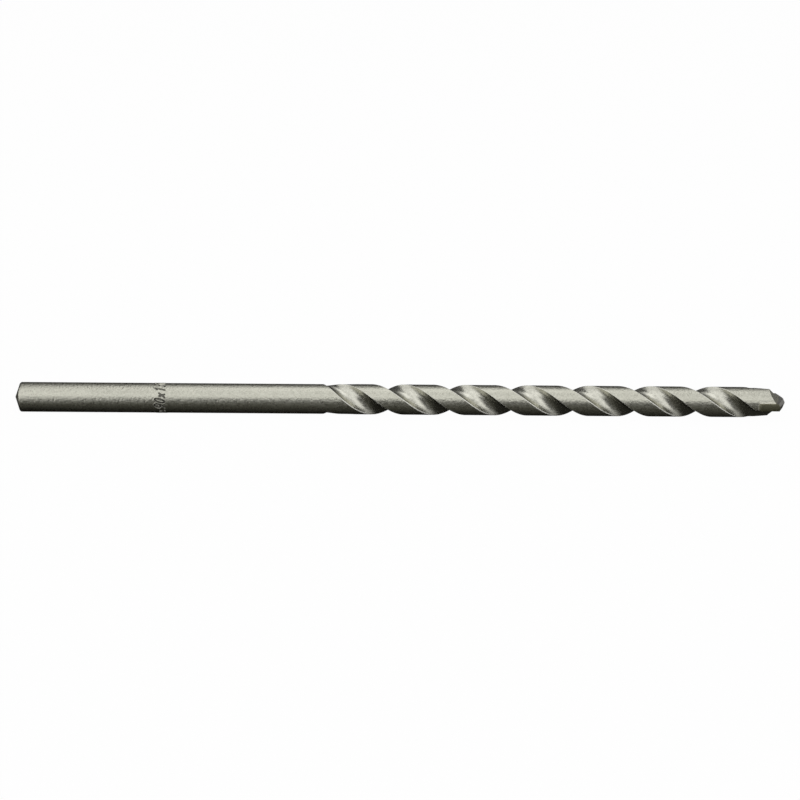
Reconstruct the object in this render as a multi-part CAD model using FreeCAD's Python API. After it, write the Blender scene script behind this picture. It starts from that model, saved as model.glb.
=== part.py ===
import FreeCAD, Part
import math
import os

# Masonry drill bit, 6 x 150 mm, lying along X with its point toward +X.
# The origin is on the bit's axis, where the straight wall of the shank begins.
# The carbide plate lies level, so its two broad faces look up and down.
# All sizes are in millimetres and degrees.

# Whole bit
overall_length = 150.0
shank_diameter = 5.8
body_diameter = 5.9
tip_diameter = 6.0

# Rear end of the shank
rear_cone_angle = 140.0
rear_edge_radius = 0.4

# Flutes: a right-hand pair
flute_lead = 24.0
flute_length = 90.3
core_diameter = 2.7
body_land_angle = 88.0
cutter_radius = 16.0
step_length = 2.0

# Head, where the flutes run nearly straight past the plate and open toward the point
head_length = 6.1
head_land_angle = 102.3
head_lead_angle = 9.3
front_land_angle = 85.0
front_lead_angle = 12.0

# Carbide plate
plate_thickness = 1.45
plate_length = 5.25
plate_corner = 0.3
point_angle = 129.0
chisel_drop = 0.05
flank_slope = 22.8
flank_relief = 28.0

# Braze, and the steel ground away behind the plate's roof
braze_gap = 0.1
steel_setback = 1.41
heel_angle = 38.9
heel_lean = 13.7

# Sizes that follow from the ones above
shank_radius = shank_diameter / 2
body_radius = body_diameter / 2
cone_height = shank_radius / math.tan(math.radians(rear_cone_angle / 2))
edge_reach = rear_edge_radius * math.tan(math.radians(rear_cone_angle / 4))
rear_x = -(cone_height + edge_reach)
tip_x = rear_x + overall_length
flute_end_x = tip_x - flute_length
head_x = tip_x - head_length
turn_per_mm = 360.0 / flute_lead
blend_x = head_x - (head_land_angle - body_land_angle) / turn_per_mm
slot_width = plate_thickness + 2 * braze_gap
slot_floor_x = tip_x - plate_length - braze_gap

X = FreeCAD.Vector(1, 0, 0)


def half_flute(land_angle):
    # Half of the angle that one flute opens at the wall.
    return math.radians((180.0 - land_angle) / 2)


def arc_radius():
    # The flute's floor is one arc from edge to edge that just touches the core.
    half = half_flute(body_land_angle)
    across = body_radius * math.sin(half)
    depth = body_radius * math.cos(half) - core_diameter / 2
    return (across * across + depth * depth) / (2 * depth)


def arc_centre(land_angle):
    # Distance from the bit's axis to the centre of the flute's arc.
    half = half_flute(land_angle)
    across = body_radius * math.sin(half)
    return body_radius * math.cos(half) + math.sqrt(arc_radius() ** 2 - across ** 2)


def flute_outline(x, angle, centre):
    # Half disc across the axis at x: the arc that is cut, closed outside the steel.
    radius = arc_radius()
    middle = centre + 0.2
    start = FreeCAD.Vector(x, middle, radius)
    bottom = FreeCAD.Vector(x, centre - radius, 0)
    end = FreeCAD.Vector(x, middle, -radius)
    arc_start = FreeCAD.Vector(x, centre, radius)
    arc_end = FreeCAD.Vector(x, centre, -radius)
    edges = [
        Part.makeLine(start, arc_start),
        Part.Arc(arc_start, bottom, arc_end).toShape(),
        Part.makeLine(arc_end, end),
        Part.makeLine(end, start),
    ]
    wire = Part.Wire(edges)
    wire.rotate(FreeCAD.Vector(0, 0, 0), X, angle)
    return wire


def flute_angle(lead_angle, land_angle):
    # Direction of the flute's middle, about the axis from +Y, ahead of the land's leading edge.
    return 180.0 + lead_angle + (180.0 - land_angle) / 2


def helix_angle(x):
    # The same direction anywhere along the twisted flutes.
    return flute_angle(head_lead_angle, body_land_angle) + (x - head_x) * turn_per_mm


def twisted_flute(first_x, last_x):
    # The full-depth flute: one outline carried along the axis while it turns with the lead.
    spine = Part.Wire(Part.makeLine(FreeCAD.Vector(first_x, 0, 0), FreeCAD.Vector(last_x, 0, 0)))
    guide = Part.makeHelix(flute_lead, last_x - first_x, body_radius)
    guide.rotate(FreeCAD.Vector(0, 0, 0), FreeCAD.Vector(0, 1, 0), 90)
    guide.translate(FreeCAD.Vector(first_x, 0, 0))
    sweep = Part.BRepOffsetAPI.MakePipeShell(spine)
    sweep.setAuxiliarySpine(Part.Wire(guide.Edges), True, 0)
    sweep.add(flute_outline(first_x, helix_angle(first_x), arc_centre(body_land_angle)), False, False)
    sweep.build()
    sweep.makeSolid()
    return sweep.shape()


def run_out_reach():
    # Distance along the axis over which the round cutter leaves the steel.
    depth = shank_radius - core_diameter / 2
    along_flute = math.sqrt(2 * cutter_radius * depth - depth * depth)
    return along_flute / flute_stretch()


def flute_stretch():
    # Length of flute for each millimetre of axis, at half the flute's depth.
    middle = (shank_radius + core_diameter / 2) / 2
    return math.hypot(1.0, 2 * math.pi * middle / flute_lead)


def run_out(last_x):
    # The flute's shallow end, where the cutter's rim has lifted out of the steel.
    sections = []
    steps = 8
    reach = run_out_reach() * 1.06
    for step in range(steps + 1):
        x = last_x - reach * (steps - step) / steps
        along = (last_x - x) * flute_stretch()
        lift = cutter_radius - math.sqrt(cutter_radius ** 2 - along ** 2)
        sections.append(flute_outline(x, helix_angle(x), arc_centre(body_land_angle) + lift))
    return Part.makeLoft(sections, True, False)


def flute_cutters():
    # Everything that is cut away for one flute, from the shank to beyond the point.
    full_x = flute_end_x + run_out_reach()
    last = flute_outline(blend_x, helix_angle(blend_x), arc_centre(body_land_angle))
    head = flute_outline(
        head_x,
        flute_angle(head_lead_angle, head_land_angle),
        arc_centre(head_land_angle),
    )
    front = flute_outline(
        tip_x,
        flute_angle(front_lead_angle, front_land_angle),
        arc_centre(front_land_angle),
    )
    return [
        run_out(full_x),
        twisted_flute(full_x, blend_x),
        Part.makeLoft([last, head], True, True),
        Part.makeLoft([head, front], True, True),
    ]


def turned_blank():
    # The round bar: coned rear end, shank, slight step up to the fluted part.
    step_x = flute_end_x + run_out_reach() - step_length / 2
    cone = math.radians(rear_cone_angle / 2)
    foot = FreeCAD.Vector(-edge_reach, 0, shank_radius)
    cone_end = foot - FreeCAD.Vector(edge_reach * math.cos(cone), 0, edge_reach * math.sin(cone))
    wall_start = FreeCAD.Vector(0, 0, shank_radius)
    turn = cone / 2
    arc_middle = FreeCAD.Vector(
        -rear_edge_radius * math.sin(turn),
        0,
        shank_radius - rear_edge_radius * (1 - math.cos(turn)),
    )
    points = [
        wall_start,
        FreeCAD.Vector(step_x, 0, shank_radius),
        FreeCAD.Vector(step_x + step_length, 0, body_radius),
        FreeCAD.Vector(tip_x, 0, body_radius),
        FreeCAD.Vector(tip_x, 0, 0),
        FreeCAD.Vector(rear_x, 0, 0),
        cone_end,
    ]
    edges = [Part.makeLine(points[i], points[i + 1]) for i in range(len(points) - 1)]
    edges.append(Part.Arc(cone_end, arc_middle, wall_start).toShape())
    return Part.Face(Part.Wire(edges)).revolve(FreeCAD.Vector(0, 0, 0), X, 360)


def block_beyond(point, outward):
    # A block that fills the side of a plane that its outward direction points to.
    size = 8 * tip_diameter
    block = Part.makeBox(size, size, size, FreeCAD.Vector(-size / 2, -size / 2, 0))
    turn = FreeCAD.Rotation(FreeCAD.Vector(0, 0, 1), outward)
    block.Placement = FreeCAD.Placement(point, turn)
    return block


def half_turned(shape):
    # The same shape on the other side of the axis.
    other = shape.copy()
    other.rotate(FreeCAD.Vector(0, 0, 0), X, 180)
    return other


def heel_cut():
    # Steel ground away above the slot: one facet that falls back toward the wall and leans to one side.
    foot = FreeCAD.Vector(tip_x - steel_setback, 0, slot_width / 2)
    fall = math.tan(math.radians(heel_angle))
    lean = math.tan(math.radians(heel_lean))
    facet = block_beyond(foot, FreeCAD.Vector(1, -lean, fall))
    upper = Part.makeBox(
        plate_length + head_length,
        2 * tip_diameter,
        tip_diameter,
        FreeCAD.Vector(tip_x - plate_length, -tip_diameter, 0),
    )
    return upper.common(facet)


def slot_block():
    # The slot across the head that takes the plate.
    return Part.makeBox(
        plate_length + head_length,
        2 * tip_diameter,
        slot_width,
        FreeCAD.Vector(slot_floor_x, -tip_diameter, -slot_width / 2),
    )


def plate_blank():
    # The flat plate with round outer margins and bevelled rear corners, before its roof is ground.
    start = tip_x - plate_length
    half = tip_diameter / 2
    slab = Part.makeBox(
        plate_length,
        2 * tip_diameter,
        plate_thickness,
        FreeCAD.Vector(start, -tip_diameter, -plate_thickness / 2),
    )
    profile = Part.makePolygon([
        FreeCAD.Vector(start, 0, 0),
        FreeCAD.Vector(start, 0, half - plate_corner),
        FreeCAD.Vector(start + plate_corner, 0, half),
        FreeCAD.Vector(tip_x, 0, half),
        FreeCAD.Vector(tip_x, 0, 0),
        FreeCAD.Vector(start, 0, 0),
    ])
    return slab.common(Part.Face(profile).revolve(FreeCAD.Vector(0, 0, 0), X, 360))


def carbide_plate():
    # The plate with a coned front and two ground flanks, which meet in a short chisel edge.
    cone_length = tip_diameter / math.tan(math.radians(point_angle / 2))
    cone_tip = tip_x + chisel_drop
    profile = Part.makePolygon([
        FreeCAD.Vector(slot_floor_x, 0, 0),
        FreeCAD.Vector(slot_floor_x, 0, tip_diameter),
        FreeCAD.Vector(cone_tip - cone_length, 0, tip_diameter),
        FreeCAD.Vector(cone_tip, 0, 0),
        FreeCAD.Vector(slot_floor_x, 0, 0),
    ])
    coned = Part.Face(profile).revolve(FreeCAD.Vector(0, 0, 0), X, 360)
    slope = math.tan(math.radians(flank_slope))
    relief = math.tan(math.radians(flank_relief))
    flank = block_beyond(FreeCAD.Vector(tip_x, 0, 0), FreeCAD.Vector(1, -slope, relief))
    return plate_blank().common(coned).cut([flank, half_turned(flank)])


def build():
    steel = turned_blank()
    for cutter in flute_cutters():
        steel = steel.cut([cutter, half_turned(cutter)])
    heel = heel_cut()
    steel = steel.cut([heel, half_turned(heel)])
    slot = slot_block()
    braze = steel.common(slot).cut(plate_blank())
    steel = steel.cut(slot)
    return {"drill_body": steel, "carbide_tip": carbide_plate(), "braze_seam": braze}


os.makedirs("parts", exist_ok=True)
for name, shape in build().items():
    print(name, shape.ShapeType, len(shape.Solids), shape.isValid(), round(shape.Volume, 3))
    shape.exportStep("parts/" + name + ".step")
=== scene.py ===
import math

import bmesh
import bpy
import numpy as np
from mathutils import Matrix, Vector


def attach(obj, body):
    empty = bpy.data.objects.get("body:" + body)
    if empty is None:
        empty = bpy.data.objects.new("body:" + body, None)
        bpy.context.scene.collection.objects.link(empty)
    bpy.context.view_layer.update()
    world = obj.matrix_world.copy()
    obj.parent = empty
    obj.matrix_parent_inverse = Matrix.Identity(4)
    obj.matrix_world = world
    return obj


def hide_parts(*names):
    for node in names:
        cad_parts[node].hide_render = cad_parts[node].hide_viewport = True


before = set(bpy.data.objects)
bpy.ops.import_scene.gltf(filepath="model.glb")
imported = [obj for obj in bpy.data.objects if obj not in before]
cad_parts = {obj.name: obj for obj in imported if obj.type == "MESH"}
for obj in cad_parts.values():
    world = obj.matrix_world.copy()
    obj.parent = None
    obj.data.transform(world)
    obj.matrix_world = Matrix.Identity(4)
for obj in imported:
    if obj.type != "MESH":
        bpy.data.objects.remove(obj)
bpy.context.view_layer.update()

MM = 0.001

# Sizes of the CAD part, in millimetres and degrees
OVERALL = 150.0
SHANK_R = 2.9
BODY_R = 2.95
REAR_CONE = 140.0
REAR_ROUND = 0.4
LEAD = 24.0
FLUTE_LENGTH = 90.3
CORE_R = 1.35
BODY_LAND = 88.0
CUTTER_R = 16.0
STEP_LENGTH = 2.0
HEAD_LENGTH = 6.1
HEAD_LAND = 102.3
HEAD_LEAD = 9.3
FRONT_LAND = 85.0
FRONT_LEAD = 12.0
PLATE_THICK = 1.45
PLATE_LENGTH = 5.25
BRAZE = 0.1
SETBACK = 1.41
HEEL = 38.9
HEEL_LEAN = 13.7

# Sizes and places along X that follow from them
CONE = math.radians(REAR_CONE / 2)
EDGE_REACH = REAR_ROUND * math.tan(CONE / 2)
REAR_X = -(SHANK_R / math.tan(CONE) + EDGE_REACH)
TIP_X = REAR_X + OVERALL
FLUTE_X = TIP_X - FLUTE_LENGTH
HEAD_X = TIP_X - HEAD_LENGTH
TURN = 360.0 / LEAD
BLEND_X = HEAD_X - (HEAD_LAND - BODY_LAND) / TURN
SLOT_HALF = PLATE_THICK / 2 + BRAZE
SLOT_X = TIP_X - PLATE_LENGTH - BRAZE
HEEL_X = TIP_X - SETBACK
HEEL_FALL = math.tan(math.radians(HEEL))
HEEL_SIDE = math.tan(math.radians(HEEL_LEAN))
RUN_DEPTH = SHANK_R - CORE_R
STRETCH = math.hypot(1.0, math.pi * (SHANK_R + CORE_R) / LEAD)
RUN_OUT = math.sqrt(2 * CUTTER_R * RUN_DEPTH - RUN_DEPTH ** 2) / STRETCH
FULL_X = FLUTE_X + RUN_OUT
STEP_X = FULL_X - STEP_LENGTH / 2

# The head is made by itself, cut, and joined to the rest of the steel here
JOIN_X = BLEND_X - 1.0
# How far the cutting blocks reach
CUT_NEAR = 0.4
CUT_FAR = 6.0
CUT_WIDE = 8.0
SLOT_BEYOND = 2.0
# How close is on a plane, at the joint, and the same point, in metres
ON_PLANE = 2e-6
AT_JOINT = 1e-8
SAME_POINT = 1e-7

# Edges: what is shaded sharp, and how round the flutes' edges are, the worn ones back to a
# length from the head
SHARP_ANGLE = 35.0
EDGE_SHARP = 0.05
EDGE_WORN = 0.18
WEAR_LENGTH = 4.0

# How finely the steel is divided: columns round it, and rows along it
LAND_STEPS = 30
FLUTE_STEPS = 22
ROUND_STEPS = 5
HALF = FLUTE_STEPS + LAND_STEPS + 2 * ROUND_STEPS
COLUMNS = 2 * HALF
CONE_SHARES = (0.06, 0.2, 0.5, 0.8, 0.95)
CONE_EDGE_ROWS = 6
REAR_ROWS = 12
SHANK_ROWS = 14
RUN_ROWS = 26
RUN_SPREAD = 1.7
ROW_LENGTH = 0.24
JOIN_ROWS = 6
BLEND_ROWS = 5
HEAD_ROWS = 24

# Kinds of face on the steel, in the order of its materials
WALL, FLUTE, SLOT, EDGE, MARK, GROUND = range(6)

# Camera: metres and degrees, and how far below the axis it aims, in millimetres
CAMERA_TILT = 22.6
CAMERA_AWAY = 0.444
CAMERA_FIELD = 19.93
CAMERA_ROLL = 0.42
CAMERA_SENSOR = 36.0
CAMERA_CLIP = (0.01, 50.0)
AIM_X = 0.073664
AIM_BELOW = 0.09

# Size mark pressed into the shank where it faces the camera, and the burr round its strokes
MARK_TEXT = "6x90x150"
MARK_X = (26.05, 28.1)
MARK_MIDDLE = math.radians(CAMERA_TILT)
MARK_PITCH = 1.17
MARK_WIDTH = 0.95
MARK_SLANT = 0.25
MARK_STROKE = 0.13
MARK_SLOPE = 0.1
MARK_DEPTH = 0.15
BURR_HEIGHT = 0.035
BURR_PLACE = 0.09
BURR_WIDTH = 0.05

# The finely divided band that carries the mark
MARK_END = 0.25
BAND_MARGIN = 0.35
BAND_X = (MARK_X[0] - BAND_MARGIN, MARK_X[1] + BAND_MARGIN)
BAND_GRID = 0.042
BAND_REST = 40
ZIP_GAP = 0.25

# Darkest and palest grain of each look, and its roughness
LOOKS = {
    "steel_wall": ((0.53, 0.525, 0.45, 1), (0.68, 0.675, 0.585, 1), 0.31),
    "steel_flute": ((0.60, 0.595, 0.52, 1), (0.80, 0.79, 0.70, 1), 0.25),
    "steel_slot": ((0.40, 0.39, 0.35, 1), (0.55, 0.54, 0.49, 1), 0.40),
    # The edge look's pale, part-matt colour is a painted highlight along the rounded edges
    "steel_edge_highlight": ((0.84, 0.83, 0.76, 1), (0.95, 0.94, 0.88, 1), 0.22),
    # The mark look's dark colour is painted shade in the pressed strokes
    "steel_mark_shade": ((0.14, 0.135, 0.12, 1), (0.24, 0.235, 0.21, 1), 0.40),
    "steel_ground": ((0.54, 0.53, 0.46, 1), (0.70, 0.69, 0.60, 1), 0.34),
    "carbide_look": ((0.42, 0.41, 0.38, 1), (0.58, 0.57, 0.53, 1), 0.36),
    "braze_look": ((0.40, 0.385, 0.27, 1), (0.52, 0.50, 0.36, 1), 0.40),
}

# Steel: blasted grain, clouds in it, and streaks that the cutter left along the flutes
EDGE_TINT = 0.25
GRAIN_SCALE = 2600.0
GRAIN_DEPTH = 0.00006
GRAIN_LOW, GRAIN_HIGH = 0.3, 0.7
CLOUD_SCALE = 260.0
CLOUD_SHARE = 0.35
CLOUD_DARK = 0.82
ROUGH_SPREAD = 0.05
STREAK_SCALE = (0.3, 120.0, 1.0)
STREAK_SHARE = 0.88
# Painted shade on the flute's wall next to its sharp edge: place from sharp to worn edge, and what
# it leaves of the colour
FLUTE_PAINTED_SHADE = [(0.0, 0.8), (0.12, 0.8), (0.25, 1.0)]
# Painted highlight, a pale part-matt band on the wall along the slot: height over which it ends,
# and length over which it begins, in mm
HIGHLIGHT_COLOUR = (0.93, 0.91, 0.78, 1)
HIGHLIGHT_METAL = 0.35
HIGHLIGHT_Z = (1.05, 1.2)
HIGHLIGHT_BLEND = 0.3

# Plate and braze: ground grain, and the stain on the plate's margins
GROUND_SCALE = 2200.0
GROUND_DEPTH = 0.00003
STAIN = ((0.30, 0.29, 0.20, 1), (0.40, 0.39, 0.28, 1))
STAIN_Y = (2.6, 2.8)

# Stage, in metres: a soft tent over the bit, closed by a card at each end
FLOOR_Z = -3.01 * MM
FLOOR_SIZE = 6.0
FLOOR_GREY = 0.8
FLOOR_GLOW = 0.98
MIDDLE_X = 0.0737
TENT_R = 0.6
TENT_LEFT = 1.0
TENT_RIGHT = 0.72
TENT_STEPS = 60
END_FOOT = -0.003
END_LEFT = 1.1
END_RIGHT = 0.45
# Elevation in degrees, seen from the front over the top, and brightness there
TENT = [
    (-2, 0.08), (5, 0.12), (12, 0.21), (20, 0.44), (26, 0.84), (35, 1.02), (50, 1.01),
    (72, 0.84), (92, 1.18), (106, 1.24), (115, 1.03), (125, 0.57), (135, 0.29),
    (145, 0.15), (152, 0.10), (165, 0.03), (182, 0.0),
]
# Brightness, lowest and highest elevation, left and right end of the smaller cards
CARDS = {
    "front_left": (1.05, -2, 27, -1.0, -0.2),
    "rear_left": (0.08, 92, 150, -1.0, -0.175),
    "rear_right": (0.32, 145, 182, 0.26, 0.72),
    "upper_right": (0.95, 20, 125, 0.42, 0.72),
    "back_right": (0.6, 74, 118, 0.17, 0.42),
}
CARD_STEPS = 16
CARD_INSIDE = 0.02

# Floor card: its rows, and brightness at |y| / (|y| + FLOOR_HALFWAY) by the bit's two ends
CARD_ABOVE = 0.00002
FLOOR_ROWS = [
    0.0, 0.001, 0.002, 0.003, 0.004, 0.006, 0.008,
    0.012, 0.018, 0.03, 0.06, 0.12, 0.25, 0.6,
]
FLOOR_HALFWAY = 0.02
FLOOR_REAR = [
    (0.07, 0.003), (0.1, 0.01), (0.15, 0.031), (0.2, 0.05),
    (0.3, 0.059), (0.4, 0.064), (1.0, 0.062),
]
FLOOR_FRONT = [
    (0.0, 0.022), (0.1, 0.027), (0.15, 0.042), (0.2, 0.058),
    (0.3, 0.075), (0.5, 0.09), (1.0, 0.1),
]
FLOOR_X = (-0.074, 0.076)
# Its mirror: roughness, and share of it from a steep to a low angle
MIRROR_ROUGH = 0.05
MIRROR = [(0.66, 0.0), (0.86, 0.6)]


# Form of the flutes


def half_flute(land):
    return math.radians((180.0 - land) / 2)


def arc_radius():
    half = half_flute(BODY_LAND)
    across = BODY_R * math.sin(half)
    depth = BODY_R * math.cos(half) - CORE_R
    return (across * across + depth * depth) / (2 * depth)


ARC = arc_radius()


def arc_centre(land):
    half = half_flute(land)
    across = BODY_R * math.sin(half)
    return BODY_R * math.cos(half) + math.sqrt(ARC ** 2 - across ** 2)


def flute_angle(lead, land):
    return math.radians(180.0 + lead + (180.0 - land) / 2)


def aimed(angle, far):
    return Vector((math.cos(angle), math.sin(angle))) * far


def centre_vector(x):
    # Centre of the first flute's arc at x, in Y and Z
    if x <= BLEND_X:
        angle = flute_angle(HEAD_LEAD, BODY_LAND) + math.radians((x - HEAD_X) * TURN)
        far = arc_centre(BODY_LAND)
        if x < FULL_X:
            along = min((FULL_X - x) * STRETCH, CUTTER_R)
            far += CUTTER_R - math.sqrt(CUTTER_R ** 2 - along ** 2)
        return aimed(angle, far)
    at_head = aimed(flute_angle(HEAD_LEAD, HEAD_LAND), arc_centre(HEAD_LAND))
    if x <= HEAD_X:
        return centre_vector(BLEND_X).lerp(at_head, (x - BLEND_X) / (HEAD_X - BLEND_X))
    at_front = aimed(flute_angle(FRONT_LEAD, FRONT_LAND), arc_centre(FRONT_LAND))
    return at_head.lerp(at_front, (x - HEAD_X) / (TIP_X - HEAD_X))


def share_of(x, start, length):
    return min(max((x - start) / length, 0.0), 1.0)


def wall_radius(x):
    return SHANK_R + (BODY_R - SHANK_R) * share_of(x, STEP_X, STEP_LENGTH)


def worn_size(x):
    # The trailing edges are rounder than the leading ones, except on the head
    return EDGE_SHARP + (EDGE_WORN - EDGE_SHARP) * share_of(-x, -JOIN_X, WEAR_LENGTH)


def rounded_edge(radius, c, size):
    # Points of the arc that rounds a land's edge, and the angles where it meets flute and land
    r1, r2 = radius - size, ARC + size
    u = min((r1 * r1 - r2 * r2 + c * c) / (2 * c), r1)
    v = math.sqrt(max(r1 * r1 - u * u, 0.0))
    flute, land = math.atan2(v, c - u), math.atan2(v, u)
    points = []
    for k in range(1, ROUND_STEPS):
        a = -flute + (land + flute) * k / ROUND_STEPS
        points.append((u + size * math.cos(a), v + size * math.sin(a)))
    return points, flute, land


def half_outline(x):
    # Points (Y, Z) of one flute, its worn edge, the land after it and that land's sharper edge
    radius = wall_radius(x)
    centre = centre_vector(x)
    c = centre.length
    worn, worn_flute, worn_land = rounded_edge(radius, c, worn_size(x))
    sharp, sharp_flute, sharp_land = rounded_edge(radius, c, EDGE_SHARP)
    points = []
    for k in range(FLUTE_STEPS + 1):
        a = math.pi + sharp_flute - (sharp_flute + worn_flute) * k / FLUTE_STEPS
        points.append((c + ARC * math.cos(a), ARC * math.sin(a)))
    points += worn
    for k in range(LAND_STEPS + 1):
        a = worn_land + (math.pi - worn_land - sharp_land) * k / LAND_STEPS
        points.append((radius * math.cos(a), radius * math.sin(a)))
    points += [(-p, q) for p, q in reversed(sharp)]
    cos_m, sin_m = centre.x / c, centre.y / c
    return [(p * cos_m - q * sin_m, p * sin_m + q * cos_m) for p, q in points]


# Mesh of the steel


def column_kinds():
    # Kind of each strip of faces between two columns
    edge = [EDGE] * ROUND_STEPS
    half = [FLUTE] * FLUTE_STEPS + edge + [WALL] * LAND_STEPS + edge
    return half + half


KINDS = column_kinds()


def new_object(name, verts, faces):
    mesh = bpy.data.meshes.new(name)
    mesh.from_pydata(verts, [], faces)
    mesh.update()
    thing = bpy.data.objects.new(name, mesh)
    bpy.context.scene.collection.objects.link(thing)
    return thing


class Skin:
    # A mesh being built from points in millimetres, with each face's kind and strip coordinates
    def __init__(self):
        self.verts = []
        self.faces = []
        self.kinds = []
        self.strips = []

    def point(self, x, y, z):
        self.verts.append((x * MM, y * MM, z * MM))
        return len(self.verts) - 1

    def face(self, corners, kind):
        # Corners on the same point count once, and a face that has shrunk to a line is left out
        kept = []
        for index, strip in corners:
            if not kept or (kept[-1][0] != index and kept[0][0] != index):
                kept.append((index, strip))
        if len(kept) > 2:
            self.faces.append([k[0] for k in kept])
            self.strips.append([k[1] for k in kept])
            self.kinds.append(kind)

    def band(self, first, second, x1, x2):
        # Faces between two rings that have the same columns
        n = len(first)
        for k in range(n):
            j = (k + 1) % n
            corners = [
                (first[k], (x1, k / n)),
                (first[j], (x1, (k + 1) / n)),
                (second[j], (x2, (k + 1) / n)),
                (second[k], (x2, k / n)),
            ]
            self.face(corners, KINDS[k] if n == COLUMNS else WALL)

    def bands(self, rings, xs):
        for k in range(len(rings) - 1):
            self.band(rings[k], rings[k + 1], xs[k], xs[k + 1])

    def build(self, name):
        thing = new_object(name, self.verts, self.faces)
        layer = thing.data.uv_layers.new(name="strip")
        flat = [c for strip in self.strips for uv in strip for c in uv]
        layer.data.foreach_set("uv", flat)
        thing.data.polygons.foreach_set("material_index", self.kinds)
        thing.data.update()
        return thing


def spread(start, end, count):
    # Evenly spaced places after the start, up to the end
    return [start + (end - start) * k / count for k in range(1, count + 1)]


def fluted_ring(skin, x):
    half = half_outline(x)
    ring = [skin.point(x, y, z) for y, z in half]
    ring += [skin.point(x, -y, -z) for y, z in half]
    return ring


WALL_START = math.atan2(centre_vector(FLUTE_X).y, centre_vector(FLUTE_X).x)


def round_ring(skin, x, radius):
    # A plain circle whose points line up with the lands; each flute's columns are one point
    points = []
    for k in range(2 * LAND_STEPS):
        a = WALL_START + math.pi * k / LAND_STEPS
        points.append(skin.point(x, radius * math.cos(a), radius * math.sin(a)))
    ring = []
    for start in (0, LAND_STEPS):
        ring += [points[start]] * (FLUTE_STEPS + ROUND_STEPS + 1)
        ring += points[start + 1:start + LAND_STEPS]
        ring += [points[(start + LAND_STEPS) % len(points)]] * ROUND_STEPS
    return ring


def own_points(ring):
    # The ring's points, each of them once
    points = []
    for index in ring:
        if index not in points:
            points.append(index)
    return points


def ring_angles(skin, ring):
    # The ring's points and their angles about the axis, from the lowest angle up
    points = own_points(ring)
    angles = [math.atan2(skin.verts[p][2], skin.verts[p][1]) % (2 * math.pi) for p in points]
    order = sorted(range(len(points)), key=lambda k: angles[k])
    return [points[k] for k in order], [angles[k] for k in order]


def zip_rings(skin, low, low_angles, high, high_angles, x1, x2):
    # Triangles between two rings of the same circle that have different points
    i = j = 0
    n, m = len(low), len(high)
    while i < n or j < m:
        next_low = low_angles[i + 1] if i + 1 < n else low_angles[0] + 2 * math.pi
        next_high = high_angles[j + 1] if j + 1 < m else high_angles[0] + 2 * math.pi
        a = (low[i % n], (x1, 0.0))
        b = (high[j % m], (x2, 0.0))
        if j >= m or (i < n and next_low <= next_high):
            skin.face([a, (low[(i + 1) % n], (x1, 0.0)), b], WALL)
            i += 1
        else:
            skin.face([a, (high[(j + 1) % m], (x2, 0.0)), b], WALL)
            j += 1


def close_end(skin, ring, outward):
    # A flat face over one end of the head; the cuts remove the front one, the joining the rear one
    points = own_points(ring)
    skin.faces.append(points if outward else points[::-1])
    skin.strips.append([(0.0, 0.0)] * len(points))
    skin.kinds.append(SLOT)


# Size mark


def arc_stroke(cx, cy, rx, ry, start, end, steps):
    turn = [math.radians(start + (end - start) * k / steps) for k in range(steps + 1)]
    return [(cx + rx * math.cos(t), cy + ry * math.sin(t)) for t in turn]


def character(sign):
    # Strokes in a box 1 wide and 1 high
    if sign == "6":
        return [
            arc_stroke(0.5, 0.3, 0.38, 0.28, 0, 360, 22),
            arc_stroke(0.78, 0.34, 0.66, 0.62, 105, 180, 10),
        ]
    if sign == "9":
        return [[(1.0 - p, 1.0 - q) for p, q in line] for line in character("6")]
    if sign == "x":
        return [[(0.2, 0.05), (0.8, 0.55)], [(0.2, 0.55), (0.8, 0.05)]]
    if sign == "1":
        return [[(0.28, 0.76), (0.56, 0.97), (0.56, 0.03)]]
    if sign == "5":
        return [
            [(0.84, 0.96), (0.26, 0.96), (0.2, 0.56)],
            arc_stroke(0.46, 0.33, 0.38, 0.3, 128, -140, 16),
        ]
    return [arc_stroke(0.5, 0.5, 0.36, 0.46, 0, 360, 26)]


def mark_segments():
    # Every stroke as straight pieces in (reading distance, height) in millimetres
    tall = MARK_X[1] - MARK_X[0]
    found = []
    for place, sign in enumerate(MARK_TEXT):
        left = (place - (len(MARK_TEXT) - 1) / 2) * MARK_PITCH - MARK_WIDTH / 2
        for line in character(sign):
            points = []
            for p, q in line:
                slant = (q - 0.5) * MARK_SLANT * tall
                points.append((left + p * MARK_WIDTH + slant, q * tall))
            found += list(zip(points[:-1], points[1:]))
    return found


def mark_height(across, up, segments):
    # How far the wall stands above or below the plain shank at each point
    best = np.full(across.shape, 1e9)
    for (ax, ay), (bx, by) in segments:
        dx, dy = bx - ax, by - ay
        t = ((across - ax) * dx + (up - ay) * dy) / (dx * dx + dy * dy)
        t = np.clip(t, 0.0, 1.0)
        best = np.minimum(best, np.hypot(across - ax - t * dx, up - ay - t * dy))
    inside = np.clip((MARK_STROKE + MARK_SLOPE / 2 - best) / MARK_SLOPE, 0.0, 1.0)
    inside = inside * inside * (3 - 2 * inside)
    burr = np.exp(-(((best - MARK_STROKE - BURR_PLACE) / BURR_WIDTH) ** 2))
    return BURR_HEIGHT * burr - MARK_DEPTH * inside


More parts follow.
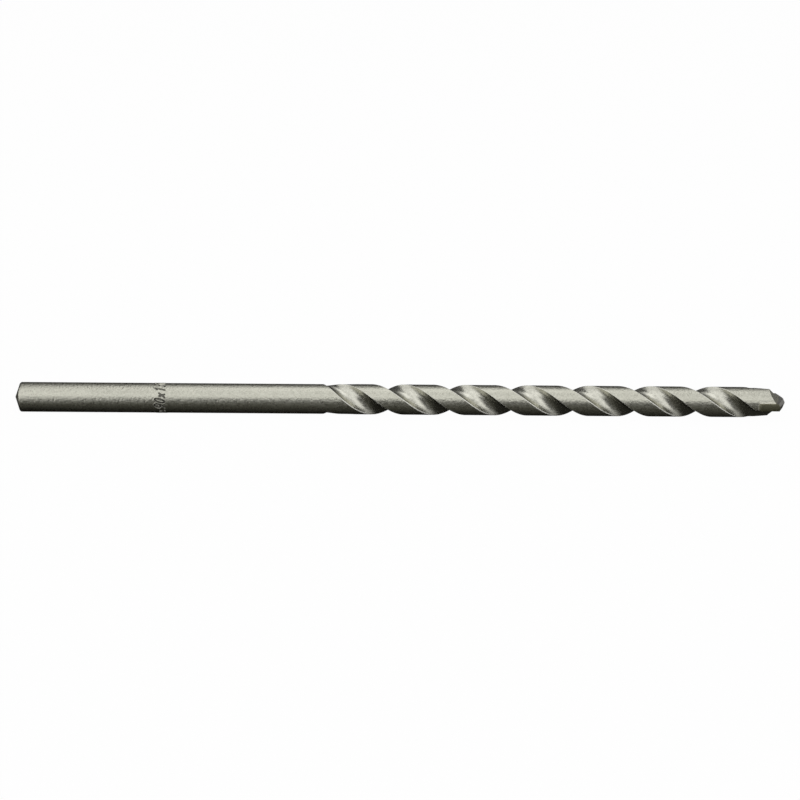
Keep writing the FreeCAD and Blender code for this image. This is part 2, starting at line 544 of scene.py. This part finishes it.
def marked_band(skin):
    # The finely divided stretch of the shank that carries the size mark
    reach = (len(MARK_TEXT) * MARK_PITCH / 2 + MARK_END) / SHANK_R
    count = int(round(2 * reach * SHANK_R / BAND_GRID))
    theta = [MARK_MIDDLE - reach + 2 * reach * k / count for k in range(count + 1)]
    rest = 2 * math.pi - 2 * reach
    theta += [MARK_MIDDLE + reach + rest * k / BAND_REST for k in range(1, BAND_REST)]
    phi = sorted((math.pi - t) % (2 * math.pi) for t in theta)
    rows = int(round((BAND_X[1] - BAND_X[0]) / BAND_GRID))
    xs = [BAND_X[0]] + spread(*BAND_X, rows)
    angle, along = np.meshgrid(np.array(phi), np.array(xs))
    read = (math.pi - angle - MARK_MIDDLE + math.pi) % (2 * math.pi) - math.pi
    height = mark_height(read * SHANK_R, MARK_X[1] - along, mark_segments())
    height[[0, -1], :] = 0
    rings = []
    for x, row in zip(xs, height):
        ring = []
        for a, rise in zip(phi, row):
            r = SHANK_R + rise
            ring.append(skin.point(x, r * math.cos(a), r * math.sin(a)))
        rings.append(ring)
    first = len(skin.faces)
    skin.bands(rings, xs)
    for k in range(rows):
        for col in range(len(phi)):
            if min(height[k, col], height[k + 1, col]) < -MARK_DEPTH / 3:
                skin.kinds[first + k * len(phi) + col] = MARK
    return xs, phi, rings


# Steel


def rear_rings(skin):
    # Coned rear end with its rounded edge
    apex = skin.point(REAR_X, 0, 0)
    edge_x = -EDGE_REACH * (1 + math.cos(CONE))
    edge_r = SHANK_R - EDGE_REACH * math.sin(CONE)
    profile = [(REAR_X + (edge_x - REAR_X) * t, edge_r * t) for t in CONE_SHARES]
    for k in range(CONE_EDGE_ROWS + 1):
        a = CONE * (1 - k / CONE_EDGE_ROWS)
        profile.append((-REAR_ROUND * math.sin(a), SHANK_R - REAR_ROUND * (1 - math.cos(a))))
    xs = [REAR_X] + [x for x, r in profile]
    rings = [[apex] * COLUMNS] + [round_ring(skin, x, r) for x, r in profile]
    return xs, rings


def body_skin():
    # Everything from the rear end to where the head is joined on
    skin = Skin()
    band_start, band_end = BAND_X
    xs, rings = rear_rings(skin)
    before = spread(0.0, band_start, REAR_ROWS)[:-1] + [band_start - ZIP_GAP]
    rings += [round_ring(skin, x, SHANK_R) for x in before]
    skin.bands(rings, xs + before)
    band_xs, phi, band = marked_band(skin)
    points, angles = ring_angles(skin, rings[-1])
    zip_rings(skin, points, angles, band[0], phi, before[-1], band_xs[0])

    after = [band_end + ZIP_GAP] + spread(band_end, FLUTE_X, SHANK_ROWS)
    rings = [round_ring(skin, x, SHANK_R) for x in after]
    points, angles = ring_angles(skin, rings[0])
    zip_rings(skin, band[-1], phi, points, angles, band_xs[-1], after[0])
    run = [FLUTE_X + RUN_OUT * (k / RUN_ROWS) ** RUN_SPREAD for k in range(1, RUN_ROWS + 1)]
    run += spread(FULL_X, JOIN_X, int(round((JOIN_X - FULL_X) / ROW_LENGTH)))
    rings += [fluted_ring(skin, x) for x in run]
    skin.bands(rings, after + run)
    return skin


def head_skin():
    skin = Skin()
    xs = [JOIN_X] + spread(JOIN_X, BLEND_X, JOIN_ROWS)
    xs += spread(BLEND_X, HEAD_X, BLEND_ROWS) + spread(HEAD_X, TIP_X, HEAD_ROWS)
    rings = [fluted_ring(skin, x) for x in xs]
    skin.bands(rings, xs)
    close_end(skin, rings[0], False)
    close_end(skin, rings[-1], True)
    return skin


def slot_block():
    # A block along Y that takes out the slot
    outline = [
        (SLOT_X, -SLOT_HALF),
        (TIP_X + SLOT_BEYOND, -SLOT_HALF),
        (TIP_X + SLOT_BEYOND, SLOT_HALF),
        (SLOT_X, SLOT_HALF),
    ]
    verts = [(x * MM, s * CUT_WIDE * MM, z * MM) for s in (-1, 1) for x, z in outline]
    n = len(outline)
    faces = [list(range(n)), list(range(2 * n - 1, n - 1, -1))]
    for k in range(n):
        j = (k + 1) % n
        faces.append([k, n + k, n + j, j])
    return new_object("slot", verts, faces)


def heel_block(name, side):
    # What is ground away above the slot for side 1, and its partner below it for side -1
    verts = []
    for y in (-CUT_WIDE, CUT_WIDE):
        for z in (CUT_NEAR, CUT_FAR):
            back = HEEL_X - HEEL_FALL * (z - SLOT_HALF) + HEEL_SIDE * y
            for x in (back, TIP_X + CUT_FAR):
                verts.append((x * MM, side * y * MM, side * z * MM))
    faces = [
        [0, 1, 3, 2], [4, 6, 7, 5], [0, 4, 5, 1],
        [2, 3, 7, 6], [0, 2, 6, 4], [1, 5, 7, 3],
    ]
    return new_object(name, verts, faces)


def cut_away(target, cutter):
    step = target.modifiers.new("cut", "BOOLEAN")
    step.operation = "DIFFERENCE"
    step.solver = "EXACT"
    step.object = cutter
    graph = bpy.context.evaluated_depsgraph_get()
    made = bpy.data.meshes.new_from_object(target.evaluated_get(graph))
    target.modifiers.clear()
    old = target.data
    target.data = made
    bpy.data.meshes.remove(old)
    bpy.data.objects.remove(cutter)


def mark_cuts(mesh):
    # Faces on the two heel facets and inside the slot get their own kinds
    outward = Vector((1.0, -HEEL_SIDE, HEEL_FALL)).normalized()
    foot = Vector((HEEL_X, 0.0, SLOT_HALF)) * MM
    for face in mesh.polygons:
        x, y, z = face.center
        for side in (1, -1):
            there = Vector((x, side * y, side * z))
            if abs((there - foot).dot(outward)) < ON_PLANE:
                face.material_index = GROUND
        on_wall = abs(abs(z) - SLOT_HALF * MM) < ON_PLANE
        on_floor = abs(x - SLOT_X * MM) < ON_PLANE
        if (on_wall or on_floor) and abs(face.normal.y) < 0.01 and x > (SLOT_X - 0.01) * MM:
            face.material_index = SLOT


def make_head():
    head = head_skin().build("steel_head")
    cut_away(head, slot_block())
    cut_away(head, heel_block("heel_upper", 1))
    cut_away(head, heel_block("heel_lower", -1))
    mark_cuts(head.data)
    return head


def join_head(body, head):
    # One mesh from the two, without the wall between them
    both = bmesh.new()
    both.from_mesh(body.data)
    both.from_mesh(head.data)
    rim = [v for v in both.verts if abs(v.co.x - JOIN_X * MM) < AT_JOINT]
    level = set(rim)
    inner = [f for f in both.faces if all(v in level for v in f.verts)]
    bmesh.ops.delete(both, geom=inner, context="FACES_ONLY")
    bmesh.ops.remove_doubles(both, verts=rim, dist=SAME_POINT)
    bmesh.ops.recalc_face_normals(both, faces=both.faces)
    loose = [e for e in both.edges if not e.link_faces]
    bmesh.ops.delete(both, geom=loose, context="EDGES")
    both.to_mesh(body.data)
    both.free()
    bpy.data.objects.remove(head)


def make_steel():
    body = body_skin().build("steel_body")
    join_head(body, make_head())
    body.data.shade_smooth()
    body.data.set_sharp_from_angle(angle=math.radians(SHARP_ANGLE))
    weigh = body.modifiers.new("even", "WEIGHTED_NORMAL")
    weigh.keep_sharp = True
    weigh.mode = "FACE_AREA"
    return body


# Nodes


def node_tree(name):
    made = bpy.data.materials.new(name)
    made.use_nodes = True
    made.node_tree.nodes.clear()
    out = made.node_tree.nodes.new("ShaderNodeOutputMaterial")
    return made, made.node_tree, out


def feed(tree, socket, value):
    # A link where the value is another node's output, and else the plain value
    if hasattr(value, "links"):
        tree.links.new(value, socket)
    else:
        socket.default_value = value


def worked(tree, operation, *values):
    made = tree.nodes.new("ShaderNodeMath")
    made.operation = operation
    for socket, value in zip(made.inputs, values):
        feed(tree, socket, value)
    return made.outputs[0]


def noise(tree, vector, scale, detail, rough):
    made = tree.nodes.new("ShaderNodeTexNoise")
    made.inputs["Scale"].default_value = scale
    made.inputs["Detail"].default_value = detail
    made.inputs["Roughness"].default_value = rough
    tree.links.new(vector, made.inputs["Vector"])
    return made.outputs["Fac"]


def grey(value):
    return (value, value, value, 1.0)


def tinted(value):
    # Light from the floor is a little warmer than from the tent
    return (value, value * 0.99, value * 0.84, 1.0)


def ramp(tree, value, stops, colour=grey):
    # The stops are places with levels, or with colours where colour is None
    made = tree.nodes.new("ShaderNodeValToRGB")
    while len(made.color_ramp.elements) < len(stops):
        made.color_ramp.elements.new(0.5)
    for element, (place, level) in zip(made.color_ramp.elements, stops):
        element.position = place
        element.color = colour(level) if colour else level
    tree.links.new(value, made.inputs["Fac"])
    return made.outputs["Color"]


def mapped(tree, vector, scale):
    made = tree.nodes.new("ShaderNodeMapping")
    made.inputs["Scale"].default_value = scale
    tree.links.new(vector, made.inputs["Vector"])
    return made.outputs["Vector"]


def mixed(tree, factor, first, second, blend="MIX"):
    made = tree.nodes.new("ShaderNodeMix")
    made.data_type = "RGBA"
    made.blend_type = blend
    for place, value in ((0, factor), (6, first), (7, second)):
        feed(tree, made.inputs[place], value)
    return made.outputs[2]


def bump(tree, height, strength, distance):
    made = tree.nodes.new("ShaderNodeBump")
    made.inputs["Strength"].default_value = strength
    made.inputs["Distance"].default_value = distance
    tree.links.new(height, made.inputs["Height"])
    return made.outputs["Normal"]


def coordinate(tree, vector, axis):
    split = tree.nodes.new("ShaderNodeSeparateXYZ")
    tree.links.new(vector, split.inputs[0])
    return split.outputs[axis]


def along_card(tree, axis):
    # Place on a card, from its UV coordinates
    place = tree.nodes.new("ShaderNodeTexCoord")
    return coordinate(tree, place.outputs["UV"], axis)


def between(tree, value, low, high, first=0.0, second=1.0):
    # The value carried from one range to another, and held at its ends
    made = tree.nodes.new("ShaderNodeMapRange")
    made.inputs["From Min"].default_value = low
    made.inputs["From Max"].default_value = high
    made.inputs["To Min"].default_value = first
    made.inputs["To Max"].default_value = second
    tree.links.new(value, made.inputs["Value"])
    return made.outputs["Result"]


def principled(tree, out, inputs):
    shader = tree.nodes.new("ShaderNodeBsdfPrincipled")
    for name, value in inputs.items():
        feed(tree, shader.inputs[name], value)
    tree.links.new(shader.outputs["BSDF"], out.inputs["Surface"])


def glow(tree, level):
    made = tree.nodes.new("ShaderNodeEmission")
    feed(tree, made.inputs["Color"], level)
    return made.outputs["Emission"]


def mix_shaders(tree, out, share, first, second):
    mix = tree.nodes.new("ShaderNodeMixShader")
    for socket, value in zip(mix.inputs, (share, first, second)):
        tree.links.new(value, socket)
    tree.links.new(mix.outputs[0], out.inputs["Surface"])


def seen_rays(tree):
    # 1 for camera, glossy and transmission rays, and 0 for the others
    path = tree.nodes.new("ShaderNodeLightPath")
    seen = path.outputs["Is Camera Ray"]
    for name in ("Is Glossy Ray", "Is Transmission Ray"):
        seen = worked(tree, "MAXIMUM", seen, path.outputs[name])
    return seen


# Materials


def across_flute(tree, strip):
    # From 0 at the flute's sharp edge to 1 at its worn one
    share = worked(tree, "MODULO", coordinate(tree, strip, "Y"), 0.5)
    return worked(tree, "MULTIPLY", share, COLUMNS / FLUTE_STEPS)


def highlight_share(tree, here):
    # Painted highlight: a pale, part-matt band on the steel along the slot
    height = worked(tree, "ABSOLUTE", coordinate(tree, here, "Z"))
    near = between(tree, height, HIGHLIGHT_Z[0] * MM, HIGHLIGHT_Z[1] * MM, 1.0, 0.0)
    ends = ((SLOT_X - HIGHLIGHT_BLEND) * MM, (SLOT_X + HIGHLIGHT_BLEND) * MM)
    return worked(tree, "MULTIPLY", near, between(tree, coordinate(tree, here, "X"), *ends))


def steel_look(name, streaks_and_shade=False, wall_highlight=False, pit=1.0, metal=1.0):
    dark, pale, rough = LOOKS[name]
    made, tree, out = node_tree(name)
    place = tree.nodes.new("ShaderNodeTexCoord")
    here, strip = place.outputs["Object"], place.outputs["UV"]
    grain = noise(tree, here, GRAIN_SCALE, 1.5, 0.5)
    cloud = noise(tree, here, CLOUD_SCALE, 3.0, 0.5)
    base = ramp(tree, grain, [(GRAIN_LOW, dark), (GRAIN_HIGH, pale)], None)
    cloud = ramp(tree, cloud, [(GRAIN_LOW, CLOUD_DARK), (GRAIN_HIGH, 1.0)])
    base = mixed(tree, CLOUD_SHARE, base, cloud, "MULTIPLY")
    # Painted highlight along the slot: pale colour and less metal
    if wall_highlight:
        highlight = highlight_share(tree, here)
        base = mixed(tree, highlight, base, HIGHLIGHT_COLOUR)
        metal = between(tree, highlight, 0.0, 1.0, metal, HIGHLIGHT_METAL)
    height = grain
    if streaks_and_shade:
        streak = noise(tree, mapped(tree, strip, STREAK_SCALE), 1.0, 2.0, 0.5)
        height = mixed(tree, STREAK_SHARE, grain, streak)
        # Painted shade: the flute's colour is darker next to its sharp edge
        scale = ramp(tree, across_flute(tree, strip), FLUTE_PAINTED_SHADE)
        base = mixed(tree, 1.0, base, scale, "MULTIPLY")
    rough_stops = [(GRAIN_LOW, rough - ROUGH_SPREAD), (GRAIN_HIGH, rough + ROUGH_SPREAD)]
    principled(tree, out, {
        "Metallic": metal,
        "Specular Tint": grey(EDGE_TINT),
        "Base Color": base,
        "Roughness": ramp(tree, grain, rough_stops),
        "Normal": bump(tree, height, 1.0, GRAIN_DEPTH * pit),
    })
    return made


def plain_look(name, stain=None):
    dark, pale, rough = LOOKS[name]
    made, tree, out = node_tree(name)
    here = tree.nodes.new("ShaderNodeTexCoord").outputs["Object"]
    grain = noise(tree, here, GROUND_SCALE, 3.0, 0.6)
    base = mixed(tree, grain, dark, pale)
    if stain:
        # The rounded margins keep the stain of the brazing, and the ground faces are clean
        side = worked(tree, "ABSOLUTE", coordinate(tree, here, "Y"))
        margin = between(tree, side, STAIN_Y[0] * MM, STAIN_Y[1] * MM)
        base = mixed(tree, margin, base, mixed(tree, grain, *stain))
    principled(tree, out, {
        "Metallic": 1.0,
        "Base Color": base,
        "Roughness": rough,
        "Normal": bump(tree, grain, 0.5, GROUND_DEPTH),
    })
    return made


def light_ramp(name, stops):
    # Glow that changes along the card
    made, tree, out = node_tree(name)
    level = ramp(tree, along_card(tree, "X"), stops)
    tree.links.new(glow(tree, level), out.inputs["Surface"])
    return made


def even_light(name, level):
    return light_ramp(name, [(0.0, level), (1.0, level)])


def glossy_floor(name):
    # A polished pale table: its own brightness from above, a mirror at a low angle
    made, tree, out = node_tree(name)
    out_from_bit = along_card(tree, "X")
    rear, front = [ramp(tree, out_from_bit, stops, tinted) for stops in (FLOOR_REAR, FLOOR_FRONT)]
    ends = [(x + TENT_LEFT) / (TENT_LEFT + TENT_RIGHT) for x in FLOOR_X]
    level = mixed(tree, between(tree, along_card(tree, "Y"), *ends), rear, front)
    coat = tree.nodes.new("ShaderNodeBsdfGlossy")
    coat.inputs["Roughness"].default_value = MIRROR_ROUGH
    weight = tree.nodes.new("ShaderNodeLayerWeight")
    share = ramp(tree, weight.outputs["Facing"], MIRROR)
    mix_shaders(tree, out, share, glow(tree, level), coat.outputs[0])
    return made


def white_floor(name):
    # White for camera, glossy and transmission rays, and plain matt white for the rest
    made, tree, out = node_tree(name)
    share = worked(tree, "MULTIPLY", seen_rays(tree), FLOOR_GLOW)
    matt = tree.nodes.new("ShaderNodeBsdfDiffuse")
    matt.inputs["Color"].default_value = grey(FLOOR_GREY)
    mix_shaders(tree, out, share, matt.outputs[0], glow(tree, grey(1.0)))
    return made


# Stage


def card(name, verts, faces, uvs, look, glossy_only):
    made = new_object(name, verts, faces)
    layer = made.data.uv_layers.new(name="arc")
    for loop in made.data.loops:
        layer.data[loop.index].uv = uvs[loop.vertex_index]
    made.data.materials.append(look)
    made.visible_camera = False
    made.visible_shadow = False
    if glossy_only:
        made.visible_diffuse = False
        made.visible_transmission = False


def strip_faces(steps):
    # Faces of a strip whose points come in pairs
    return [[2 * k, 2 * k + 1, 2 * k + 3, 2 * k + 2] for k in range(steps)]


def arc_points(radius, low, high, left, right, steps):
    # Pairs of points on an arc about the bit, between two elevations
    points = []
    for k in range(steps + 1):
        a = math.radians(low + (high - low) * k / steps)
        for x in (left, right):
            points.append((MIDDLE_X + x, -radius * math.cos(a), radius * math.sin(a)))
    return points


def light_tent():
    # A soft box bent over the bit: elevation from the front floor line over the top to the rear
    low, high = TENT[0][0], TENT[-1][0]
    verts = arc_points(TENT_R, low, high, -TENT_LEFT, TENT_RIGHT, TENT_STEPS)
    uvs = [(k // 2 / TENT_STEPS, 0.5) for k in range(len(verts))]
    look = light_ramp("tent_look", [((e - low) / (high - low), v) for e, v in TENT])
    card("tent", verts, strip_faces(TENT_STEPS), uvs, look, False)
    for x, level in ((-TENT_LEFT, END_LEFT), (TENT_RIGHT, END_RIGHT)):
        outline = ((-TENT_R, END_FOOT), (TENT_R, END_FOOT), (TENT_R, TENT_R), (-TENT_R, TENT_R))
        corners = [(MIDDLE_X + x, y, z) for y, z in outline]
        look = even_light("end_look", level)
        card("end_card", corners, [[0, 1, 2, 3]], [(0.5, 0.5)] * 4, look, True)


def arc_card(name, level, low, high, left, right):
    # A plain card in front of the tent, between two elevations and two places along X
    verts = arc_points(TENT_R - CARD_INSIDE, low, high, left, right, CARD_STEPS)
    look = even_light(name + "_look", level)
    card(name, verts, strip_faces(CARD_STEPS), [(0.5, 0.5)] * len(verts), look, True)


def floor_card():
    # What the steel sees of the floor: pale far away, darker in the bit's own shade
    verts, uvs = [], []
    rows = [-y for y in reversed(FLOOR_ROWS[1:])] + FLOOR_ROWS
    for y in rows:
        for end, x in enumerate((-TENT_LEFT, TENT_RIGHT)):
            verts.append((MIDDLE_X + x, y, FLOOR_Z + CARD_ABOVE))
            uvs.append((abs(y) / (abs(y) + FLOOR_HALFWAY), float(end)))
    look = glossy_floor("floor_card_look")
    card("floor_card", verts, strip_faces(len(rows) - 1), uvs, look, True)


def make_floor():
    outline = ((-1, -1), (1, -1), (1, 1), (-1, 1))
    corners = [(x * FLOOR_SIZE, y * FLOOR_SIZE, FLOOR_Z) for x, y in outline]
    floor = new_object("floor", corners, [[0, 1, 2, 3]])
    floor.data.materials.append(white_floor("floor_look"))


def make_world():
    # White for camera, glossy and transmission rays, and dark for the others
    world = bpy.data.worlds.new("room")
    bpy.context.scene.world = world
    world.use_nodes = True
    tree = world.node_tree
    tree.nodes.clear()
    out = tree.nodes.new("ShaderNodeOutputWorld")
    back = tree.nodes.new("ShaderNodeBackground")
    back.inputs["Color"].default_value = grey(1.0)
    tree.links.new(seen_rays(tree), back.inputs["Strength"])
    tree.links.new(back.outputs[0], out.inputs["Surface"])


def make_stage():
    make_floor()
    make_world()
    light_tent()
    floor_card()
    for name, sizes in CARDS.items():
        arc_card(name, *sizes)


def make_camera():
    lens = bpy.data.cameras.new("camera")
    lens.sensor_width = CAMERA_SENSOR
    lens.lens = CAMERA_SENSOR / 2 / math.tan(math.radians(CAMERA_FIELD / 2))
    lens.clip_start, lens.clip_end = CAMERA_CLIP
    camera = bpy.data.objects.new("camera", lens)
    bpy.context.scene.collection.objects.link(camera)
    tilt = math.radians(CAMERA_TILT)
    back = Vector((0.0, -math.cos(tilt), math.sin(tilt)))
    above = Vector((0.0, math.sin(tilt), math.cos(tilt)))
    target = Vector((AIM_X, 0.0, 0.0)) - above * AIM_BELOW * MM
    turn = (-back).to_track_quat("-Z", "Y").to_matrix()
    turn = turn @ Matrix.Rotation(math.radians(CAMERA_ROLL), 3, "Z")
    camera.matrix_world = Matrix.Translation(target + back * CAMERA_AWAY) @ turn.to_4x4()
    bpy.context.scene.camera = camera


def dress_steel():
    steel = make_steel()
    looks = [
        # The wall look carries a painted highlight along the slot
        steel_look("steel_wall", wall_highlight=True),
        # The flute look carries painted shade next to its sharp edge
        steel_look("steel_flute", streaks_and_shade=True, pit=0.45),
        steel_look("steel_slot"),
        # Painted highlight: the rounded edges are pale and part matt
        steel_look("steel_edge_highlight", pit=0.5, metal=0.55),
        # Painted shade: the pressed strokes of the mark are coloured dark
        steel_look("steel_mark_shade"),
        steel_look("steel_ground"),
    ]
    for look in looks:
        steel.data.materials.append(look)
    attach(steel, "root")
    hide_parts("drill_body")


def dress_plate():
    # The plate and its braze are the CAD pieces, with materials of their own
    looks = {
        "carbide_tip": plain_look("carbide_look", STAIN),
        "braze_seam": plain_look("braze_look"),
    }
    for node, look in looks.items():
        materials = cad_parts[node].data.materials
        materials.clear()
        materials.append(look)


dress_steel()
dress_plate()
make_stage()
make_camera()
bpy.context.scene.view_settings.view_transform = "Standard"
